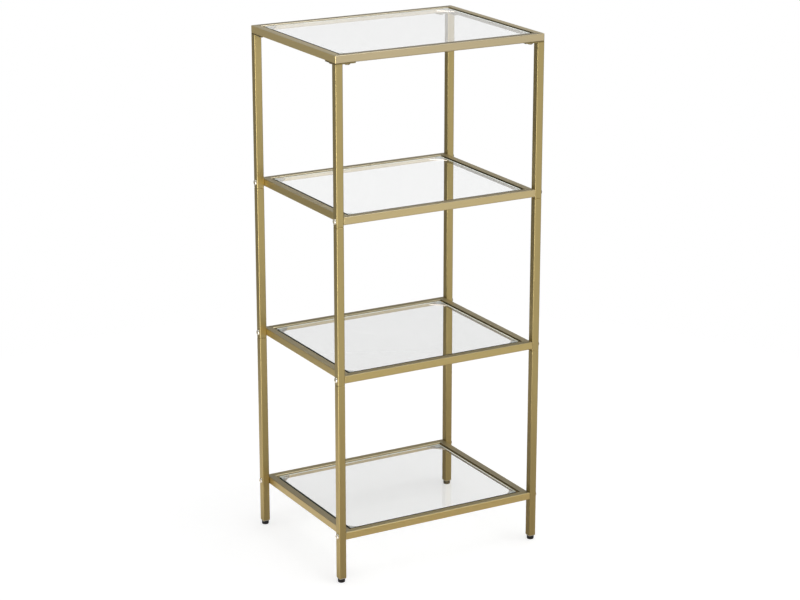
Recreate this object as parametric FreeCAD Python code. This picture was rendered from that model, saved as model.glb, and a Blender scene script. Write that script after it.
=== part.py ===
"""Four-tier etagere: a bolted frame of square steel tube, loose glass shelves and screw-in feet.

Millimetres. +X is the right-hand side, +Y the back and +Z up. The origin is on the floor,
under the centre of the frame. Each node is written to parts/NODE.step.
"""

import FreeCAD, Part
import math
import os

# Frame, over its outer faces
FRAME_WIDTH = 450.0
FRAME_DEPTH = 350.0
BOTTOM_SHELF_TOP = 104.0      # floor to the top face of the bottom shelf frame
LOWER_BAY = 320.0             # bottom shelf top to lower shelf top
MIDDLE_BAY = 311.0            # lower shelf top to upper shelf top
UPPER_BAY = 305.0             # upper shelf top to the top of the etagere

# Square tube, the same for posts and rails
TUBE = 15.0
TUBE_WALL = 1.0
TUBE_CORNER = 1.6             # outer corner radius
LEAST_CORNER = 0.2            # inner corner radius where the wall is thick
TOP_FRAME_CORNER = 1.6        # rounding of the top frame's four upright corners
SHELF_FRAME_CORNER = 0.6      # the same of a shelf frame, whose corners meet the posts
CUT_MARGIN = 1.0              # how far a cutting shape runs past what it cuts
CUT_TOLERANCE = 0.0001        # for a cut between faces that lie on each other

# Joints between the lengths of a post
SEAM_DROP = 4.0               # below the underside of the shelf frame above it
SEAM_CHAMFER = 0.8
SLEEVE_REACH = 30.0           # length inside each of the two tubes
SLEEVE_WALL = 1.5
SLEEVE_SLIP = 0.15            # clearance on each side in the tube

# Corner plates between the posts and the top frame
PLATE_LEG = 42.0              # from the outer corner along each rail
PLATE_THICKNESS = 2.0
PLATE_INSET = 0.4             # from the outer faces of the frame
PLATE_SCREW_OFFSET = 28.0     # screw centre from the outer corner

# Bolts and rail nuts, M6 with button heads; threads are plain cylinders
BOLT_DIAMETER = 6.0
BOLT_HOLE_SLIP = 0.3          # clearance around a bolt in a plain hole
BOLT_TIP = 1.0                # length past the end of the nut
BOLT_POINT = 0.6              # chamfer of the tip
HEAD_DIAMETER = 11.0
HEAD_HEIGHT = 3.0
HEAD_RIM = 0.6                # straight part under the dome
HEAD_CROWN = 5.6              # diameter of the flat on top
HEAD_BULGE = 0.2              # rise of the dome over its chord, as a share of the chord
SOCKET_FLATS = 4.0
SOCKET_DEPTH = 1.8
NUT_DIAMETER = 9.0
NUT_LENGTH = 9.0
NUT_COLLAR = 11.0             # collar behind the tube wall
NUT_COLLAR_THICKNESS = 1.2
THREAD_SLIP = 0.08            # clearance around a screw in its thread
PRESS_SLIP = 0.05             # clearance of a pressed-in nut

# Glass shelves and what they rest on
GLASS_THICKNESS = 5.0
GLASS_GAP = 4.5               # to the rails, on each side
GLASS_RECESS = 1.2            # glass surface below the top face of its frame
GLASS_CORNER = 3.0
GLASS_ARRIS = 0.5
BRACKET_LEG = 30.0
BRACKET_TIP = 4.0             # blunt ends of the triangle
BRACKET_RELIEF = 2.0          # cut off at the frame's inner corner
BRACKET_THICKNESS = 2.0
PAD_OFFSET = 11.5             # pad centre from both rails
PAD_DIAMETER = 12.0
PAD_HEIGHT = 1.5
PAD_EDGE = 0.4
PAD_STEM = 5.0
PAD_LIP = 6.6                 # bulge that holds the stem under the bracket
PAD_LIP_HEIGHT = 1.2
PAD_SLIP = 0.1                # clearance of the stem in the bracket

# Feet
FOOT_DIAMETER = 14.4
FOOT_HEIGHT = 7.8
FOOT_ROUND = 1.8              # rounding of the lower edge
FOOT_TOP_EDGE = 0.4
FOOT_FLOOR = 2.0              # under the stud
FOOT_GAP = 0.2                # between the foot and the plug, screwed right in
STUD_DIAMETER = 6.0
STUD_SEAT = 0.05              # between the stud's end and the foot
FOOT_TRAVEL = 8.0             # how far a foot screws out
STUD_HOLD = 12.0              # thread that is then left in the plug
PLUG_FLANGE = 1.5
PLUG_INSET = 0.5              # flange edge from the tube's outer faces
PLUG_LENGTH = 22.0
PLUG_SLIP = 0.1

# Worked out from the sizes above
LOWER_SHELF_TOP = BOTTOM_SHELF_TOP + LOWER_BAY
UPPER_SHELF_TOP = LOWER_SHELF_TOP + MIDDLE_BAY
FRAME_TOP = UPPER_SHELF_TOP + UPPER_BAY
SHELF_TOPS = {"upper": UPPER_SHELF_TOP, "lower": LOWER_SHELF_TOP, "bottom": BOTTOM_SHELF_TOP}
LEVEL_TOPS = {"top": FRAME_TOP, **SHELF_TOPS}
POST_X = (FRAME_WIDTH - TUBE) / 2
POST_Y = (FRAME_DEPTH - TUBE) / 2
PLUG_BOTTOM = FOOT_HEIGHT + FOOT_GAP
LEG_BOTTOM = PLUG_BOTTOM + PLUG_FLANGE
STUD_BOTTOM = FOOT_FLOOR + STUD_SEAT
STUD_LENGTH = PLUG_BOTTOM - STUD_BOTTOM + FOOT_TRAVEL + STUD_HOLD
PLATE_BOTTOM = FRAME_TOP - TUBE - PLATE_THICKNESS
SEAMS = {"lower": LOWER_SHELF_TOP - TUBE - SEAM_DROP, "upper": UPPER_SHELF_TOP - TUBE - SEAM_DROP}
BRACKET_TOP_DROP = GLASS_RECESS + GLASS_THICKNESS + PAD_HEIGHT
CORNERS = {"front_left": (-1, -1), "front_right": (1, -1), "back_left": (-1, 1), "back_right": (1, 1)}

FULL_TURN = 360
HALF_TURN = 180
HEX_SIDES = 6
UP = FreeCAD.Vector(0, 0, 1)
DOWN = FreeCAD.Vector(0, 0, -1)


def upright_block(width, depth, height, radius):
    """A block on z = 0, centred on the Z axis, with rounded upright edges."""
    corner = FreeCAD.Vector(-width / 2, -depth / 2, 0)
    block = Part.makeBox(width, depth, height, corner)
    upright = [edge for edge in block.Edges if edge.BoundBox.ZLength > height / 2]
    return block.makeFillet(radius, upright)


def square_tube(length, side=TUBE, wall=TUBE_WALL, corner=TUBE_CORNER):
    """A square tube that stands on z = 0, centred on the Z axis."""
    inner = side - 2 * wall
    tube = upright_block(side, side, length, corner)
    bore = upright_block(inner, inner, length, max(corner - wall, LEAST_CORNER))
    return tube.cut(bore)


def place(shape, point, direction):
    """Turns a shape's +Z to the direction and moves its origin to the point."""
    moved = shape.copy()
    turn = FreeCAD.Placement(point, FreeCAD.Rotation(UP, direction))
    moved.Placement = turn.multiply(shape.Placement)
    return moved


def cylinder(radius, start, end):
    """A solid cylinder between two points."""
    axis = end - start
    return Part.makeCylinder(radius, axis.Length, start, axis)


def plan_prism(points, bottom, top):
    """An upright prism over a plan outline."""
    corners = [FreeCAD.Vector(x, y, bottom) for x, y in points]
    outline = Part.makePolygon(corners + corners[:1])
    return Part.Face(outline).extrude(FreeCAD.Vector(0, 0, top - bottom))


def revolve(profile):
    """A solid of revolution about Z from a closed list of (radius, height) points."""
    corners = [FreeCAD.Vector(radius, 0, height) for radius, height in profile]
    outline = Part.makePolygon(corners + corners[:1])
    return Part.Face(outline).revolve(FreeCAD.Vector(0, 0, 0), UP, FULL_TURN)


def outer_end_edges(tube, height):
    """The edges around the outside of an upright tube's end face at a height."""
    mid_wall = (TUBE - TUBE_WALL) / 2
    found = []
    for edge in tube.Edges:
        box = edge.BoundBox
        in_end_face = max(abs(box.ZMin - height), abs(box.ZMax - height)) < SEAM_CHAMFER
        reach = max(abs(box.XMin), abs(box.XMax), abs(box.YMin), abs(box.YMax))
        if in_end_face and reach > mid_wall:
            found.append(edge)
    return found


def post_length(corner, bottom, top, bolt_height, seam_ends):
    """One length of a post with its bolt holes; the ends at a joint line are chamfered."""
    tube = square_tube(top - bottom)
    for end in seam_ends:
        tube = tube.makeChamfer(SEAM_CHAMFER, outer_end_edges(tube, end - bottom))
    side_x, side_y = CORNERS[corner]
    tube.translate(FreeCAD.Vector(side_x * POST_X, side_y * POST_Y, bottom))
    reach = FreeCAD.Vector(TUBE, 0, 0)
    centre = FreeCAD.Vector(side_x * POST_X, side_y * POST_Y, bolt_height)
    hole = cylinder(BOLT_DIAMETER / 2 + BOLT_HOLE_SLIP, centre - reach, centre + reach)
    return tube.cut(hole)


def frame_half_sizes(level):
    """Half the outer width and depth of a frame: the top one lies over the posts."""
    half_width = FRAME_WIDTH / 2
    if level != "top":
        half_width -= TUBE
    return half_width, FRAME_DEPTH / 2


def rail(level, side):
    """One mitred rail of a frame, without its holes."""
    top = LEVEL_TOPS[level]
    half_x, half_y = frame_half_sizes(level)
    out_x, out_y = half_x + CUT_MARGIN, half_y + CUT_MARGIN
    in_x, in_y = half_x - TUBE - CUT_MARGIN, half_y - TUBE - CUT_MARGIN
    sign = -1 if side in ("front", "left") else 1
    if side in ("front", "back"):
        length, axis = 2 * out_x, FreeCAD.Vector(1, 0, 0)
        start = FreeCAD.Vector(-out_x, sign * (half_y - TUBE / 2), top - TUBE / 2)
        plan = [(-out_x, sign * out_y), (out_x, sign * out_y), (in_x, sign * in_y), (-in_x, sign * in_y)]
    else:
        length, axis = 2 * out_y, FreeCAD.Vector(0, 1, 0)
        start = FreeCAD.Vector(sign * (half_x - TUBE / 2), -out_y, top - TUBE / 2)
        plan = [(sign * out_x, -out_y), (sign * out_x, out_y), (sign * in_x, in_y), (sign * in_x, -in_y)]
    tube = place(square_tube(length), start, axis)
    bottom = top - TUBE - CUT_MARGIN
    mitre = plan_prism(plan, bottom, top + CUT_MARGIN)
    corner = TOP_FRAME_CORNER if level == "top" else SHELF_FRAME_CORNER
    rounded = upright_block(2 * half_x, 2 * half_y, TUBE + 2 * CUT_MARGIN, corner)
    rounded.translate(FreeCAD.Vector(0, 0, bottom))
    return tube.common(mitre).common([rounded], CUT_TOLERANCE)


def side_bolt_seats(level):
    """Where the shelf bolts meet the posts: (point on the post's outer face, outward direction)."""
    height = SHELF_TOPS[level] - TUBE / 2
    seats = []
    for side_x, side_y in CORNERS.values():
        point = FreeCAD.Vector(side_x * FRAME_WIDTH / 2, side_y * POST_Y, height)
        seats.append((point, FreeCAD.Vector(side_x, 0, 0)))
    return seats


def top_screw_points():
    """Screw centres under the top frame: (point on the frame's underside, rail side)."""
    points = []
    for side_x, side_y in CORNERS.values():
        along_x = side_x * (FRAME_WIDTH / 2 - PLATE_SCREW_OFFSET)
        along_y = side_y * (FRAME_DEPTH / 2 - PLATE_SCREW_OFFSET)
        under = FRAME_TOP - TUBE
        points.append((FreeCAD.Vector(along_x, side_y * POST_Y, under), "front" if side_y < 0 else "back"))
        points.append((FreeCAD.Vector(side_x * POST_X, along_y, under), "left" if side_x < 0 else "right"))
    return points


def nut_seats(level):
    """Where the rail nuts sit: (point on the rail's face, direction out of the face, rail side)."""
    if level == "top":
        return [(point, DOWN, side) for point, side in top_screw_points()]
    seats = []
    for point, outward in side_bolt_seats(level):
        side = "left" if outward.x < 0 else "right"
        seats.append((point - outward * TUBE, outward, side))
    return seats


def frame_rails(level):
    """The four rails of one frame, drilled for the rail nuts."""
    rails = {side: rail(level, side) for side in ("front", "back", "left", "right")}
    for point, outward, side in nut_seats(level):
        hole = cylinder(NUT_DIAMETER / 2 + PRESS_SLIP, point + outward * TUBE_WALL, point - outward * TUBE / 2)
        rails[side] = rails[side].cut(hole)
    return {f"{level}_{side}_rail": [solid] for side, solid in rails.items()}


def rail_nut():
    """A threaded insert: its mouth at z = 0, its body below, its collar behind the tube wall."""
    body, collar = NUT_DIAMETER / 2, NUT_COLLAR / 2
    bore = BOLT_DIAMETER / 2 + THREAD_SLIP
    collar_end = -TUBE_WALL - NUT_COLLAR_THICKNESS
    return revolve([
        (bore, 0), (body, 0), (body, -TUBE_WALL), (collar, -TUBE_WALL), (collar, collar_end),
        (body, collar_end), (body, -NUT_LENGTH), (bore, -NUT_LENGTH)])


def hexagon(flats, bottom, top):
    """An upright hexagonal prism, measured across its flats."""
    radius = flats / 2 / math.cos(math.pi / HEX_SIDES)
    turns = [2 * math.pi * step / HEX_SIDES for step in range(HEX_SIDES)]
    return plan_prism([(radius * math.cos(turn), radius * math.sin(turn)) for turn in turns], bottom, top)


def button_bolt(length):
    """A button-head bolt: the head's seat at z = 0, the shank below."""
    shank, head = BOLT_DIAMETER / 2, HEAD_DIAMETER / 2
    rim = FreeCAD.Vector(head, 0, HEAD_RIM)
    crown = FreeCAD.Vector(HEAD_CROWN / 2, 0, HEAD_HEIGHT)
    outward = FreeCAD.Vector(HEAD_HEIGHT - HEAD_RIM, 0, head - HEAD_CROWN / 2)
    middle = (rim + crown) / 2 + outward * HEAD_BULGE
    corners = [
        crown, FreeCAD.Vector(0, 0, HEAD_HEIGHT), FreeCAD.Vector(0, 0, -length),
        FreeCAD.Vector(shank - BOLT_POINT, 0, -length), FreeCAD.Vector(shank, 0, BOLT_POINT - length),
        FreeCAD.Vector(shank, 0, 0), FreeCAD.Vector(head, 0, 0), rim]
    edges = [Part.LineSegment(a, b).toShape() for a, b in zip(corners, corners[1:])]
    edges.append(Part.Arc(rim, middle, crown).toShape())
    solid = Part.Face(Part.Wire(edges)).revolve(FreeCAD.Vector(0, 0, 0), UP, FULL_TURN)
    return solid.cut(hexagon(SOCKET_FLATS, HEAD_HEIGHT - SOCKET_DEPTH, HEAD_HEIGHT + SOCKET_DEPTH))


def joint_sleeves(shelf):
    """The four sleeves inside the posts at one joint line, drilled for the shelf bolts."""
    outer = TUBE - 2 * TUBE_WALL - 2 * SLEEVE_SLIP
    bolt_height = SHELF_TOPS[shelf] - TUBE / 2
    sleeves = []
    for side_x, side_y in CORNERS.values():
        sleeve = square_tube(2 * SLEEVE_REACH, outer, SLEEVE_WALL, TUBE_CORNER)
        sleeve.translate(FreeCAD.Vector(side_x * POST_X, side_y * POST_Y, SEAMS[shelf] - SLEEVE_REACH))
        centre = FreeCAD.Vector(side_x * POST_X, side_y * POST_Y, bolt_height)
        reach = FreeCAD.Vector(TUBE, 0, 0)
        hole = cylinder(BOLT_DIAMETER / 2 + BOLT_HOLE_SLIP, centre - reach, centre + reach)
        sleeves.append(sleeve.cut(hole))
    return sleeves


def corner_plates():
    """The four L-shaped plates on the post tops, each with two screw holes."""
    near, far = PLATE_INSET, TUBE - PLATE_INSET
    leg = [(near, near), (PLATE_LEG, near), (PLATE_LEG, far), (far, far), (far, PLATE_LEG), (near, PLATE_LEG)]
    plates = []
    for side_x, side_y in CORNERS.values():
        plan = [(side_x * (FRAME_WIDTH / 2 - x), side_y * (FRAME_DEPTH / 2 - y)) for x, y in leg]
        plates.append(plan_prism(plan, PLATE_BOTTOM, PLATE_BOTTOM + PLATE_THICKNESS))
    radius = BOLT_DIAMETER / 2 + BOLT_HOLE_SLIP
    holes = [cylinder(radius, point + DOWN * TUBE, point + UP * TUBE) for point, _ in top_screw_points()]
    return [plate.cut(holes) for plate in plates]


def inner_corners(level):
    """The inner corners of a frame: (x, y, direction to the middle in x, in y)."""
    half_x, half_y = frame_half_sizes(level)
    return [(sx * (half_x - TUBE), sy * (half_y - TUBE), -sx, -sy) for sx, sy in CORNERS.values()]


def glass_brackets(level):
    """The four triangular brackets welded into a frame's inner corners."""
    top = LEVEL_TOPS[level] - BRACKET_TOP_DROP
    bottom = top - BRACKET_THICKNESS
    triangle = [
        (BRACKET_RELIEF, 0), (BRACKET_LEG, 0), (BRACKET_LEG, BRACKET_TIP),
        (BRACKET_TIP, BRACKET_LEG), (0, BRACKET_LEG), (0, BRACKET_RELIEF)]
    brackets = []
    for x, y, in_x, in_y in inner_corners(level):
        plate = plan_prism([(x + in_x * a, y + in_y * b) for a, b in triangle], bottom, top)
        centre = FreeCAD.Vector(x + in_x * PAD_OFFSET, y + in_y * PAD_OFFSET, bottom)
        hole = cylinder(PAD_STEM / 2 + PAD_SLIP, centre + DOWN * BRACKET_THICKNESS, centre + UP * TUBE)
        brackets.append(plate.cut(hole))
    return brackets


def glass_pads(level):
    """The four clear pads on a frame's brackets, each with a stem and a lip below."""
    disc, stem, lip = PAD_DIAMETER / 2, PAD_STEM / 2, PAD_LIP / 2
    lip_top = -BRACKET_THICKNESS
    lip_bottom = lip_top - PAD_LIP_HEIGHT
    pad = revolve([
        (0, lip_bottom), (stem, lip_bottom), (lip, lip_top), (stem, lip_top), (stem, 0),
        (disc, 0), (disc, PAD_HEIGHT - PAD_EDGE), (disc - PAD_EDGE, PAD_HEIGHT), (0, PAD_HEIGHT)])
    top = LEVEL_TOPS[level] - BRACKET_TOP_DROP
    pads = []
    for x, y, in_x, in_y in inner_corners(level):
        centre = FreeCAD.Vector(x + in_x * PAD_OFFSET, y + in_y * PAD_OFFSET, top)
        pads.append(place(pad, centre, UP))
    return pads


def glass_pane(level):
    """A loose pane with rounded corners and ground edges."""
    half_x, half_y = frame_half_sizes(level)
    width = 2 * (half_x - TUBE - GLASS_GAP)
    depth = 2 * (half_y - TUBE - GLASS_GAP)
    pane = upright_block(width, depth, GLASS_THICKNESS, GLASS_CORNER)
    flat = [edge for edge in pane.Edges if edge.BoundBox.ZLength < GLASS_ARRIS]
    pane = pane.makeChamfer(GLASS_ARRIS, flat)
    pane.translate(FreeCAD.Vector(0, 0, LEVEL_TOPS[level] - GLASS_RECESS - GLASS_THICKNESS))
    return pane


def leg_plugs():
    """The four plugs in the leg ends, each with a flange and a threaded hole."""
    inner = TUBE - 2 * TUBE_WALL - 2 * PLUG_SLIP
    flange = TUBE - 2 * PLUG_INSET
    body = upright_block(inner, inner, PLUG_LENGTH, max(TUBE_CORNER - TUBE_WALL, LEAST_CORNER) + PLUG_SLIP)
    cap = upright_block(flange, flange, PLUG_FLANGE, TUBE_CORNER)
    bore = Part.makeCylinder(STUD_DIAMETER / 2 + THREAD_SLIP, PLUG_LENGTH)
    plug = body.fuse(cap).cut(bore).removeSplitter()
    spots = [FreeCAD.Vector(sx * POST_X, sy * POST_Y, PLUG_BOTTOM) for sx, sy in CORNERS.values()]
    return [place(plug, spot, UP) for spot in spots]


def foot_base():
    """A round foot on z = 0 with a blind hole for its stud."""
    body = Part.makeCylinder(FOOT_DIAMETER / 2, FOOT_HEIGHT)
    rims = [edge for edge in body.Edges if edge.BoundBox.ZLength < FOOT_TOP_EDGE]
    low = [edge for edge in rims if edge.BoundBox.ZMax < FOOT_HEIGHT / 2]
    body = body.makeFillet(FOOT_ROUND, low)
    high = [edge for edge in body.Edges if edge.BoundBox.ZMin > FOOT_HEIGHT - FOOT_TOP_EDGE]
    body = body.makeChamfer(FOOT_TOP_EDGE, high)
    bore = Part.makeCylinder(STUD_DIAMETER / 2 + THREAD_SLIP, FOOT_HEIGHT)
    bore.translate(UP * FOOT_FLOOR)
    return body.cut(bore)


def foot_stud():
    """The threaded stud of a foot, with its lower end at the foot's seat."""
    radius = STUD_DIAMETER / 2
    stud = revolve([(0, 0), (radius, 0), (radius, STUD_LENGTH - BOLT_POINT),
                    (radius - BOLT_POINT, STUD_LENGTH), (0, STUD_LENGTH)])
    stud.translate(UP * STUD_BOTTOM)
    return stud


def build_nodes():
    """Every node's name and its solids."""
    nodes = {}
    for level in LEVEL_TOPS:
        nodes.update(frame_rails(level))
        nodes[f"{level}_glass"] = [glass_pane(level)]
        nodes[f"{level}_glass_brackets"] = glass_brackets(level)
        nodes[f"{level}_glass_pads"] = glass_pads(level)
        nodes[f"{level}_rail_nuts"] = [place(rail_nut(), point, out) for point, out, _ in nut_seats(level)]
    shelf_bolt = button_bolt(TUBE + NUT_LENGTH + BOLT_TIP)
    for level in SHELF_TOPS:
        nodes[f"{level}_shelf_bolts"] = [place(shelf_bolt, point, out) for point, out in side_bolt_seats(level)]
    bolt_heights = {level: top - TUBE / 2 for level, top in SHELF_TOPS.items()}
    for corner in CORNERS:
        nodes[f"{corner}_leg"] = [
            post_length(corner, LEG_BOTTOM, SEAMS["lower"], bolt_heights["bottom"], [SEAMS["lower"]])]
        nodes[f"{corner}_middle_post"] = [
            post_length(corner, SEAMS["lower"], SEAMS["upper"], bolt_heights["lower"], SEAMS.values())]
        nodes[f"{corner}_upper_post"] = [
            post_length(corner, SEAMS["upper"], PLATE_BOTTOM, bolt_heights["upper"], [SEAMS["upper"]])]
    for shelf in SEAMS:
        nodes[f"{shelf}_joint_sleeves"] = joint_sleeves(shelf)
    nodes["top_corner_plates"] = corner_plates()
    top_screw = button_bolt(PLATE_THICKNESS + NUT_LENGTH + BOLT_TIP)
    nodes["top_frame_screws"] = [
        place(top_screw, point + DOWN * PLATE_THICKNESS, DOWN) for point, _ in top_screw_points()]
    nodes["leg_plugs"] = leg_plugs()
    for corner, (side_x, side_y) in CORNERS.items():
        spot = FreeCAD.Vector(side_x * POST_X, side_y * POST_Y, 0)
        nodes[f"{corner}_foot_stud"] = [place(foot_stud(), spot, UP)]
        nodes[f"{corner}_foot_base"] = [place(foot_base(), spot, UP)]
    return nodes


os.makedirs("parts", exist_ok=True)
for name, solids in build_nodes().items():
    shape = solids[0] if len(solids) == 1 else Part.makeCompound(solids)
    shape.exportStep(f"parts/{name}.step")
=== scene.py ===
"""Looks of the four-tier etagere: finishes, foot threads, a pale floor and soft light.

Metres, in the frame's own axes: +X is the right-hand side, +Y the back and +Z up.
"""

import math

import bmesh
import bpy
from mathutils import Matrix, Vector


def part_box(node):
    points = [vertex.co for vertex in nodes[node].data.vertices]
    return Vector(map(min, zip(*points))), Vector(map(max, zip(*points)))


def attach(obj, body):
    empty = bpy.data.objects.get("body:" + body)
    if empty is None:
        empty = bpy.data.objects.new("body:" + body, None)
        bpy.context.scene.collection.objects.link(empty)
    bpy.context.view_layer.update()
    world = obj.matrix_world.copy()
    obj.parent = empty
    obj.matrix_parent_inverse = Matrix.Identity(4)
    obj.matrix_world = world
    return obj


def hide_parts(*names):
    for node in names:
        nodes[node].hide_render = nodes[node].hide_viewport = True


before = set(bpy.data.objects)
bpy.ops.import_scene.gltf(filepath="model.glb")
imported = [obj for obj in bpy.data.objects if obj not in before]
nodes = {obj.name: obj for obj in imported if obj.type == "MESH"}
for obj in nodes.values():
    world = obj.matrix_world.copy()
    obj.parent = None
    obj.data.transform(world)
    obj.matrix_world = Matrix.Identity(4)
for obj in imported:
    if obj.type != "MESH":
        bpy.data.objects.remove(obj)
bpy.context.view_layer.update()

LEVELS = ("top", "upper", "lower", "bottom")
CORNERS = ("front_left", "front_right", "back_left", "back_right")


# Shader maths


class Value:
    """A value that changes over a surface. Python's operators on it add Math nodes."""

    def __init__(self, finish, socket):
        self.finish, self.socket = finish, socket

    def math(self, operation, *operands):
        inputs = dict(enumerate(operands))
        return self.finish.add("ShaderNodeMath", {"operation": operation}, inputs)

    def __add__(self, other):
        return self.math("ADD", self, other)

    def __radd__(self, other):
        return self.math("ADD", other, self)

    def __sub__(self, other):
        return self.math("SUBTRACT", self, other)

    def __rsub__(self, other):
        return self.math("SUBTRACT", other, self)

    def __mul__(self, other):
        return self.math("MULTIPLY", self, other)

    def __truediv__(self, other):
        return self.math("DIVIDE", self, other)

    def __pow__(self, other):
        return self.math("POWER", self, other)

    def above(self, limit):
        return self.math("GREATER_THAN", self, limit)

    def below(self, limit):
        return self.math("LESS_THAN", self, limit)

    def clamped(self):
        return self.finish.add("ShaderNodeClamp", {}, {"Value": self})


class Finish:
    """A node material that is being put together."""

    def __init__(self, name, world=False):
        self.owner = bpy.data.worlds.new(name) if world else bpy.data.materials.new(name)
        self.owner.use_nodes = True
        self.tree = self.owner.node_tree
        self.tree.nodes.clear()

    def add(self, kind, settings, inputs, output=0):
        """Adds a node, its settings first and then its sockets, and gives one of its outputs."""
        node = self.tree.nodes.new(kind)
        for name, setting in settings.items():
            setattr(node, name, setting)
        for key, given in inputs.items():
            if isinstance(given, Value):
                self.tree.links.new(given.socket, node.inputs[key])
            else:
                node.inputs[key].default_value = given
        return Value(self, node.outputs[output]) if node.outputs else None

    def place(self, stretch=(1, 1, 1)):
        """Where a point of the surface is on the piece, stretched along the axes."""
        spot = self.add("ShaderNodeTexCoord", {}, {}, "Object")
        return self.add("ShaderNodeVectorMath", {"operation": "MULTIPLY"}, {0: spot, 1: stretch})

    def noise(self, spot, scale, detail=2.0):
        inputs = {"Vector": spot, "Scale": scale, "Detail": detail}
        return self.add("ShaderNodeTexNoise", {}, inputs)

    def cells(self, spot, scale):
        """A random number for each small cell of the surface."""
        colour = self.add("ShaderNodeTexVoronoi", {}, {"Vector": spot, "Scale": scale}, "Color")
        return self.add("ShaderNodeSeparateColor", {}, {"Color": colour}, "Red")

    def mix(self, share, one, other):
        """A colour between two, by share from 0 to 1."""
        inputs = {"Factor": share, 6: one, 7: other}
        return self.add("ShaderNodeMix", {"data_type": "RGBA"}, inputs, 2)

    def scaled(self, vector, scale):
        """A colour or direction times a number."""
        return self.add("ShaderNodeVectorMath", {"operation": "SCALE"}, {0: vector, "Scale": scale})

    def along(self, one, other):
        """How far one direction goes along another."""
        settings = {"operation": "DOT_PRODUCT"}
        return self.add("ShaderNodeVectorMath", settings, {0: one, 1: other}, "Value")

    def bump(self, height, depth):
        """A normal from a height that runs from 0 to 1, depth metres deep."""
        return self.add("ShaderNodeBump", {}, {"Height": height, "Distance": depth})

    def part(self, vector, axis):
        """One coordinate of a vector."""
        return self.add("ShaderNodeSeparateXYZ", {}, {"Vector": vector}, axis)

    def ramp(self, value, low, high):
        """A smooth rise from 0 to 1 while the value goes from low to high."""
        inputs = {"Value": value, "From Min": low, "From Max": high}
        return self.add("ShaderNodeMapRange", {"interpolation_type": "SMOOTHSTEP"}, inputs)

    def normal(self):
        """Which way the surface faces, in the axes of the piece."""
        return self.add("ShaderNodeTexCoord", {}, {}, "Normal")

    def facing_middle(self, ways):
        """1 on a face that is turned to the middle of the piece along those axes, 0 elsewhere."""
        return self.along(self.place(ways), self.normal()).below(-INWARD)

    def straight_view(self):
        """1 where light reaches the eye past no mirror or matt surface, through glass or not."""
        glossy = self.add("ShaderNodeLightPath", {}, {}, "Glossy Depth")
        diffuse = self.add("ShaderNodeLightPath", {}, {}, "Diffuse Depth")
        return (glossy + diffuse).below(0.5)

    def surface(self, **sockets):
        """The finish's main shader; a socket's name is given with _ for a space."""
        inputs = {name.replace("_", " "): given for name, given in sockets.items()}
        return self.add("ShaderNodeBsdfPrincipled", {}, inputs)

    def done(self, shader):
        self.add("ShaderNodeOutputMaterial", {}, {"Surface": shader})
        return self.owner


def rgb(red, green, blue):
    """A colour for a socket, in linear light."""
    return (red, green, blue, 1)


# Finishes

INWARD = 0.1                                  # least distance of an inward face from the middle
UPRIGHT_LIMIT = 0.5                           # rise of the normal, between upright and level faces
BOTH_WAYS, SIDEWAYS = (1, 1, 0), (1, 0, 0)    # axes along which a face counts as inward

DRAWN_ALONG_X, DRAWN_ALONG_Y, DRAWN_ALONG_Z = (7, 420, 420), (420, 7, 420), (420, 420, 7)
UNDRAWN = (160, 160, 160)
GOLDS = ((0.50, 0.388, 0.162), (0.465, 0.372, 0.160))
PALER = (0.0, 0.05, 0.2)                      # what full paleness adds to a gold
# painted reflection: the grey towards which inward and top faces are paled
PAINTED_PALE_GREY = rgb(0.46, 0.445, 0.385)

# lightness and paleness of the lacquer on the rails of each level: painted light and shade, lighter
# or darker and paler from level to level
LONG_RAIL_PAINTED_TONES = {
    "top": (1.25, 0.4), "upper": (1.3, 0.2), "lower": (1.2, 0.0), "bottom": (1.5, 0.0),
}
SIDE_RAIL_PAINTED_TONES = {
    "top": (1.65, 0.1), "upper": (1.3, 0.0), "lower": (1.3, 0.0), "bottom": (1.2, 0.1),
}
# how the inward and top faces of the rails differ from that: painted light and shade makes them
# lighter, darker or paler, and inner_sheen makes inward faces smoother
LONG_RAIL_FACES = {"painted_inner_light": 1.4, "painted_inner_pale": 0.35, "painted_top_light": 0.8, "painted_top_pale": 0.25}
SIDE_RAIL_FACES = {"painted_inner_light": 0.5, "inner_sheen": 0.7, "painted_top_pale": 0.4}

GLASS_IOR = 1.5
WHEEL_MARKS = (60, 60, 900)                   # fine level lines round the ground edge
PAINTED_GLOW_FRESNEL_SPAN = (0.6, 0.9)                  # between which a Fresnel share counts as all, for the painted glow inside the edge
EDGE_INNER_PAINTED_GLOW = rgb(0.42, 0.44, 0.38)


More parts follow.
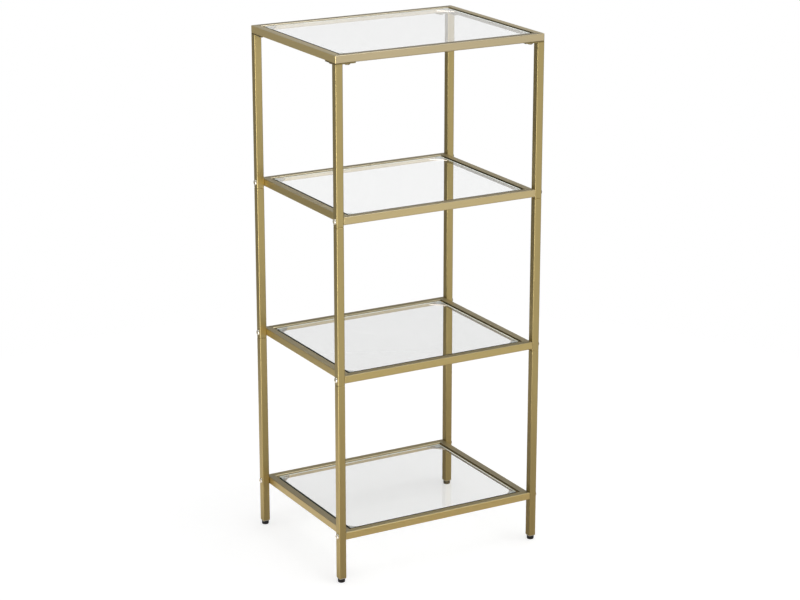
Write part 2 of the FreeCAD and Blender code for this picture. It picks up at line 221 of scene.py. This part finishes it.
def champagne_lacquer(
    name, drawn, light=1.0, pale=0.0, inward=BOTH_WAYS,
    painted_inner_light=1.0, painted_inner_pale=0.0, inner_sheen=0.0, painted_top_light=1.0, painted_top_pale=0.0,
):
    """Satin champagne-gold metallic lacquer on steel, with faint lines drawn along a tube, and
    painted light and shade that makes inward and top faces lighter, darker or paler.
    """
    f = Finish(name)
    spot = f.place()
    cloud = f.noise(spot, scale=14)
    grain = f.noise(f.place(drawn), scale=1, detail=3)
    flake = f.cells(spot, scale=3800)
    peel = f.noise(spot, scale=650)
    inner = f.facing_middle(inward)
    top = f.part(f.normal(), "Z").above(UPRIGHT_LIMIT)
    golds = [rgb(*(part + pale * more for part, more in zip(gold, PALER))) for gold in GOLDS]
    # painted reflection: inward and top faces are paled towards a grey by their share of painted
    # paleness
    paint = f.mix(inner * painted_inner_pale + top * painted_top_pale, f.mix(cloud, *golds), PAINTED_PALE_GREY)
    # grain and flakes of the lacquer, times the lightness given (painted light on rails and
    # brackets) and painted light and shade on inward and top faces
    shade = (0.93 + grain * 0.08 + flake * 0.06) * light
    shade = shade * (1 + inner * (painted_inner_light - 1)) * (1 + top * (painted_top_light - 1))
    return f.done(
        f.surface(
            Base_Color=f.scaled(paint, shade),
            Metallic=1.0,
            Roughness=(0.34 + peel * 0.06 + flake * 0.05) * (1 - inner * inner_sheen),
            Coat_Weight=0.05,
            Coat_Roughness=0.22,
            Normal=f.bump(peel * 0.7 + grain * 0.3, depth=0.00003),
        )
    )


def pane_glass():
    """Clear float glass, faintly wavy.

    Its ground edge is dark green from outside, near black as painted shade of the gap beside it,
    and pale from inside, where the Fresnel share is high, with a painted reflection and a painted
    glow.
    """
    f = Finish("pane_glass")
    spot = f.place()
    rise = f.part(f.normal(), "Z")
    ground = rise.math("ABSOLUTE", rise).below(UPRIGHT_LIMIT)
    haze = f.noise(spot, scale=22, detail=4)
    glass = f.surface(
        Base_Color=f.mix(haze, rgb(0.983, 0.989, 0.986), rgb(0.988, 0.992, 0.990)),
        Roughness=0.0,
        IOR=GLASS_IOR,
        Transmission_Weight=1.0,
        Normal=f.bump(f.noise(spot, scale=12, detail=1), depth=0.00002),
    )
    wheel_marks = f.noise(f.place(WHEEL_MARKS), scale=1)
    # partly painted shade: the dark green of the ground edge is near black, for the shade of the
    # gap beside the pane
    outside = f.mix(wheel_marks, rgb(0.008, 0.016, 0.012), rgb(0.016, 0.030, 0.023))
    # painted reflection and glow: seen from inside, the ground edge is pale and glows though it is
    # no lamp
    inside = f.mix(wheel_marks, rgb(0.78, 0.84, 0.76), rgb(0.84, 0.89, 0.82))
    from_inside = f.ramp(f.add("ShaderNodeFresnel", {}, {"IOR": GLASS_IOR}), *PAINTED_GLOW_FRESNEL_SPAN)
    edge = f.surface(
        Base_Color=f.mix(from_inside, outside, inside),
        Roughness=0.28 + wheel_marks * 0.12,
        IOR=GLASS_IOR,
        Emission_Color=f.mix(from_inside, rgb(0, 0, 0), EDGE_INNER_PAINTED_GLOW),
        Emission_Strength=1.0,
    )
    shadow = f.add("ShaderNodeLightPath", {}, {}, "Is Shadow Ray")
    clear = f.add("ShaderNodeBsdfTransparent", {}, {"Color": rgb(0.985, 0.988, 0.986)})
    pane = f.add("ShaderNodeMixShader", {}, {0: shadow, 1: glass, 2: clear})
    return f.done(f.add("ShaderNodeMixShader", {}, {0: ground, 1: pane, 2: edge}))


def soft_clear():
    """Clear soft plastic with a fine moulded haze."""
    f = Finish("soft_clear")
    haze = f.noise(f.place(), scale=420, detail=3)
    return f.done(
        f.surface(
            Base_Color=f.mix(haze, rgb(0.88, 0.89, 0.86), rgb(0.94, 0.95, 0.92)),
            Roughness=0.22 + haze * 0.16,
            IOR=1.45,
            Transmission_Weight=0.75,
            Normal=f.bump(haze, depth=0.00004),
        )
    )


def plated_steel(name, one, other, low_roughness):
    """Bright plated steel with fine turning marks and small cloudy stains."""
    f = Finish(name)
    spot = f.place()
    stain = f.noise(spot, scale=260, detail=3)
    marks = f.noise(spot, scale=2600)
    return f.done(
        f.surface(
            Base_Color=f.mix(stain, one, other),
            Metallic=1.0,
            Roughness=low_roughness + stain * 0.10 + marks * 0.06,
            Normal=f.bump(marks, depth=0.00001),
        )
    )


def moulded_plastic(name, one, other, low_roughness, depth):
    """Moulded plastic with a fine spark-eroded grain."""
    f = Finish(name)
    spot = f.place()
    tone = f.noise(spot, scale=90, detail=3)
    grain = f.noise(spot, scale=3200)
    return f.done(
        f.surface(
            Base_Color=f.mix(tone, one, other),
            Roughness=low_roughness + grain * 0.12,
            Normal=f.bump(grain, depth),
        )
    )


def rail_lacquers(kind, drawn, tones, faces):
    """The lacquer of one kind of rail, for each level."""
    return {
        level: champagne_lacquer(f"lacquer_{level}_{kind}", drawn, *tones[level], **faces)
        for level in LEVELS
    }


# painted shade: the posts' faces turned to the middle along X are darker
POST_LACQUER = champagne_lacquer("lacquer_posts", DRAWN_ALONG_Z, inward=SIDEWAYS, painted_inner_light=0.74)
LONG_RAIL_LACQUERS = rail_lacquers("long_rails", DRAWN_ALONG_X, LONG_RAIL_PAINTED_TONES, LONG_RAIL_FACES)
SIDE_RAIL_LACQUERS = rail_lacquers("side_rails", DRAWN_ALONG_Y, SIDE_RAIL_PAINTED_TONES, SIDE_RAIL_FACES)
PLATE_LACQUER = champagne_lacquer("lacquer_plates", UNDRAWN, light=0.6)
# painted light and reflection: the brackets are lighter and paler than the rest of the lacquer
BRACKET_LACQUER = champagne_lacquer("lacquer_brackets", UNDRAWN, light=1.4, pale=1.0)
GLASS = pane_glass()
CLEAR_PLASTIC = soft_clear()
BRIGHT_STEEL = plated_steel(
    "bright_bolt_plating", rgb(0.84, 0.79, 0.66), rgb(0.92, 0.87, 0.76), low_roughness=0.16
)
BRASSED_STEEL = plated_steel(
    "brassed_screw_plating", rgb(0.34, 0.28, 0.17), rgb(0.42, 0.36, 0.24), low_roughness=0.26
)
ZINC_STEEL = plated_steel(
    "zinc_plating", rgb(0.52, 0.53, 0.55), rgb(0.64, 0.65, 0.66), low_roughness=0.28
)
PALE_PLASTIC = moulded_plastic(
    "pale_plug_plastic", rgb(0.58, 0.53, 0.44), rgb(0.66, 0.61, 0.51),
    low_roughness=0.42, depth=0.00002,
)
BLACK_PLASTIC = moulded_plastic(
    "black_foot_plastic", rgb(0.004, 0.004, 0.005), rgb(0.010, 0.010, 0.011),
    low_roughness=0.30, depth=0.00003,
)


def finish_of(node):
    """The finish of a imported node, by its name."""
    if node.endswith("_glass"):
        return GLASS
    if node.endswith("_glass_pads"):
        return CLEAR_PLASTIC
    if node.endswith("_bolts"):
        return BRIGHT_STEEL
    if node.endswith("_screws"):
        return BRASSED_STEEL
    if node.endswith(("_nuts", "_sleeves", "_foot_stud")):
        return ZINC_STEEL
    if node == "leg_plugs":
        return PALE_PLASTIC
    if node.endswith("_foot_base"):
        return BLACK_PLASTIC
    if node.endswith(("_leg", "_post")):
        return POST_LACQUER
    if node.endswith(("_front_rail", "_back_rail")):
        return LONG_RAIL_LACQUERS[node.split("_")[0]]
    if node.endswith(("_left_rail", "_right_rail")):
        return SIDE_RAIL_LACQUERS[node.split("_")[0]]
    return BRACKET_LACQUER if node.endswith("_brackets") else PLATE_LACQUER


for name, obj in nodes.items():
    for material_slot in obj.material_slots:
        material_slot.material = finish_of(name)


# Screw threads of the feet

THREAD_PITCH = 0.001
THREAD_DEPTH = 0.00061
THREAD_END_INSET = 0.00015                    # how far the rim of each end lies inside the root
THREAD_STEPS = 48                             # round one turn
THREAD_PROFILE = ((0.0, 1), (0.125, 1), (0.4375, 0), (0.6875, 0))   # (turns up, depths in)
WELD_DISTANCE = 1e-6


def threaded_stud(name, corner):
    """A screw with a helical thread in the place of the plain stud of a foot."""
    low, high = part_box(f"{corner}_foot_stud")
    centre_x, centre_y = (low[0] + high[0]) / 2, (low[1] + high[1]) / 2
    crest = (high[0] - low[0]) / 2
    end_radius = crest - THREAD_DEPTH - THREAD_END_INSET
    # one more turn at both ends, which is then pressed level with the end
    turns = math.ceil((high[2] - low[2]) / THREAD_PITCH) + 2
    mesh = bmesh.new()
    columns = []
    for step in range(THREAD_STEPS):
        angle = 2 * math.pi * step / THREAD_STEPS
        column = []
        for turn in range(turns):
            for share, depth in THREAD_PROFILE:
                lift = THREAD_PITCH * (turn - 1 + share + step / THREAD_STEPS)
                z = min(max(low[2] + lift, low[2]), high[2])
                to_end = min(z - low[2], high[2] - z)
                radius = min(crest - THREAD_DEPTH * depth, end_radius + to_end)
                spot = (centre_x + radius * math.cos(angle), centre_y + radius * math.sin(angle), z)
                column.append(mesh.verts.new(spot))
        columns.append(column)
    # the last column meets the first one turn higher
    next_columns = columns[1:] + [columns[0][len(THREAD_PROFILE):]]
    for column, beside in zip(columns, next_columns):
        for corners in zip(column, beside, beside[1:], column[1:]):
            mesh.faces.new(corners)
    bmesh.ops.remove_doubles(mesh, verts=mesh.verts, dist=WELD_DISTANCE)
    bmesh.ops.dissolve_degenerate(mesh, edges=mesh.edges, dist=WELD_DISTANCE)
    bmesh.ops.holes_fill(mesh, edges=[edge for edge in mesh.edges if edge.is_boundary])
    bmesh.ops.recalc_face_normals(mesh, faces=mesh.faces)
    data = bpy.data.meshes.new(name)
    mesh.to_mesh(data)
    mesh.free()
    data.materials.append(ZINC_STEEL)
    stud = bpy.data.objects.new(name, data)
    bpy.context.scene.collection.objects.link(stud)
    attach(stud, f"{corner}_stud")
    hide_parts(f"{corner}_foot_stud")


for corner in CORNERS:
    threaded_stud(f"{corner}_foot_thread", corner)


# Floor, light and camera

FLOOR_RADIUS, FLOOR_FADE = 1.5, 0.7           # its rim fades out between the two
FLOOR_SIDES = 96
FLOOR_DROP = 0.0002                           # below the feet
FLOOR_GLOW, FLOOR_GLOW_LEFT, FLOOR_GLOW_SEEN = 0.15, 0.60, 0.70
FLOOR_LEFT = (-0.2, -0.3)                     # X between which the left glow begins
FLOOR_MIRRORED = rgb(0.38, 0.325, 0.29)       # its colour in reflections
ROOM = 0.14
STUDIO_LAMPS = (  # direction, strength, how narrow
    ((-0.86, -0.42, -0.22), 6.5, 16.0),
    ((0.32, -0.93, -0.16), 1.05, 7.0),
    ((0.25, -0.30, 0.92), 1.9, 10.0),
    ((-0.45, 0.84, -0.29), 0.18, 8.0),
)
BACKDROP_IN_GLASS, BACKDROP_IN_METAL = 0.75, 0.25
BACKDROP_LOW, BACKDROP_HIGH = 0.25, 0.33      # between which its glow falls
BACKDROP_FALL = 0.7
BACKDROP_SIDES, BACKDROP_FOOT = (0.0, 0.4), (-0.1, 0.0)     # directions in which it begins

CAMERA_SPOT = (-2.1473, -3.8244, 1.8618)
CAMERA_YAW, CAMERA_PITCH = math.radians(29.4), math.radians(17.3)
CAMERA_LENS, CAMERA_SENSOR = 103.96, 36.0     # millimetres
CAMERA_REACH = (0.1, 60)                      # the nearest and furthest that it sees
GLASS_BOUNCES, CLEAR_BOUNCES = 16, 24


def pale_floor():
    """A round pale floor that glows softly and fades out at its rim."""
    f = Finish("pale_floor_paint")
    spot = f.place()
    straight = f.straight_view()
    paint = f.mix(f.noise(spot, scale=40, detail=3), rgb(0.38, 0.38, 0.38), rgb(0.40, 0.40, 0.40))
    reach = f.add("ShaderNodeVectorMath", {"operation": "LENGTH"}, {0: spot}, "Value")
    rim = ((reach - FLOOR_FADE) / (FLOOR_RADIUS - FLOOR_FADE)).clamped()
    left = f.ramp(f.part(spot, "X"), *FLOOR_LEFT)
    glows = [rgb(glow, glow, glow) for glow in (FLOOR_GLOW, FLOOR_GLOW_LEFT, FLOOR_GLOW_SEEN)]
    floor_finish = f.done(
        f.surface(
            Base_Color=f.mix(straight, FLOOR_MIRRORED, paint),
            Roughness=0.9,
            Emission_Color=f.mix(straight, f.mix(left, glows[0], glows[1]), glows[2]),
            Emission_Strength=1.0,
            Alpha=1 - rim,
        )
    )
    bpy.ops.mesh.primitive_circle_add(
        vertices=FLOOR_SIDES, radius=FLOOR_RADIUS, fill_type="NGON", location=(0, 0, -FLOOR_DROP)
    )
    floor = bpy.context.object
    floor.name = "pale_floor"
    floor.data.materials.append(floor_finish)


def surroundings():
    """A white studio to the eye; in reflections a dim room with broad soft lamps."""
    f = Finish("studio", world=True)
    direction = f.add("ShaderNodeTexCoord", {}, {}, "Generated")
    height = f.part(direction, "Z")
    glow = ROOM
    for toward, strength, tightness in STUDIO_LAMPS:
        facing = f.along(direction, Vector(toward).normalized())
        glow = glow + facing.math("MAXIMUM", facing, 0.0) ** tightness * strength
    wall = f.ramp(f.part(direction, "Y"), *BACKDROP_SIDES) * f.ramp(height, *BACKDROP_FOOT)
    wall = wall * (1 - f.ramp(height, BACKDROP_LOW, BACKDROP_HIGH) * BACKDROP_FALL)
    in_glass = f.add("ShaderNodeLightPath", {}, {}, "Is Singular Ray")
    glow = glow + wall * (BACKDROP_IN_METAL + in_glass * (BACKDROP_IN_GLASS - BACKDROP_IN_METAL))
    colour = f.mix(f.straight_view(), f.scaled((1.0, 1.0, 1.0), glow), rgb(1, 1, 1))
    background = f.add("ShaderNodeBackground", {}, {"Color": colour, "Strength": 1.0})
    f.add("ShaderNodeOutputWorld", {}, {"Surface": background})
    bpy.context.scene.world = f.owner


def soft_light(name, spot, target, width, height, radiance):
    """A broad lamp that lights the piece and isn't seen itself."""
    light = bpy.data.lights.new(name, "AREA")
    light.shape, light.size, light.size_y = "RECTANGLE", width, height
    light.energy = radiance * math.pi * width * height
    obj = bpy.data.objects.new(name, light)
    obj.location = spot
    obj.rotation_mode = "QUATERNION"
    obj.rotation_quaternion = (Vector(target) - Vector(spot)).to_track_quat("-Z", "Y")
    obj.visible_camera = False
    bpy.context.scene.collection.objects.link(obj)


def camera():
    """The eye, in front of the piece, to its left and above."""
    data = bpy.data.cameras.new("camera")
    data.sensor_width, data.lens = CAMERA_SENSOR, CAMERA_LENS
    data.clip_start, data.clip_end = CAMERA_REACH
    obj = bpy.data.objects.new("camera", data)
    ahead, down = math.cos(CAMERA_PITCH), math.sin(CAMERA_PITCH)
    look = Vector((math.sin(CAMERA_YAW) * ahead, math.cos(CAMERA_YAW) * ahead, -down))
    obj.location = CAMERA_SPOT
    obj.rotation_mode = "QUATERNION"
    obj.rotation_quaternion = look.to_track_quat("-Z", "Y")
    bpy.context.scene.collection.objects.link(obj)
    bpy.context.scene.camera = obj


pale_floor()
surroundings()
soft_light(
    "overhead", spot=(0.0, -0.2, 3.2), target=(0, 0, 0.4), width=2.4, height=2.4, radiance=2.2
)
camera()

scene = bpy.context.scene
scene.view_settings.view_transform = "Standard"
scene.view_settings.look = "None"
scene.cycles.transparent_max_bounces = CLEAR_BOUNCES
scene.cycles.transmission_bounces = GLASS_BOUNCES
scene.cycles.max_bounces = GLASS_BOUNCES
